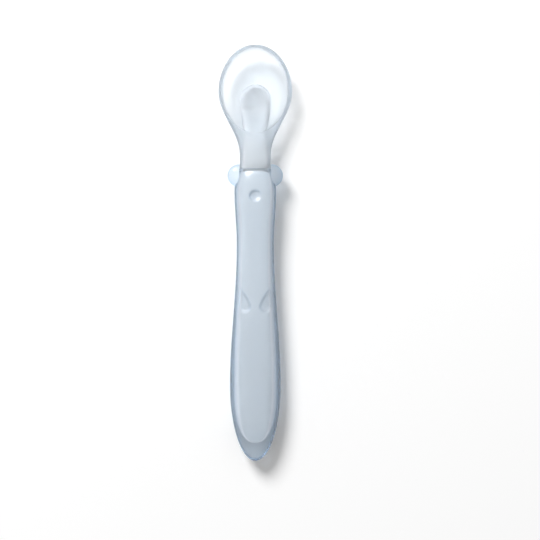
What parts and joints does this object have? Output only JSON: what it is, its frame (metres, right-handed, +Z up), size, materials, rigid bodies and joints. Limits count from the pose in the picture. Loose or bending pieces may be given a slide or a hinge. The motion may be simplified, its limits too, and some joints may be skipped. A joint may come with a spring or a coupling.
{
  "type": "baby spoon",
  "caption": "Baby feeding spoon: a rigid pale core inside a clear soft bowl and a blue-tinted soft handle with a round knob on each side, a dimple and thumb scoops.",
  "frame": {"origin": "middle of the bottom of the bounding box, on the surface that the spoon rests on", "axes": "+Y towards the bowl's tip, +X across the spoon, +Z up, out of the open bowl"},
  "size_m": [0.0264, 0.15, 0.0111],
  "materials": {
    "core_plastic": "satin, opaque pale blue-grey moulded plastic",
    "clear_silicone": "smooth clear silicone, nearly colourless",
    "blue_silicone": "smooth clear silicone with a faint blue tint"
  },
  "bodies": {
    "root": {"core": "core_plastic", "bowl": "clear_silicone", "handle_sleeve": "blue_silicone"}
  },
  "joints": []
}
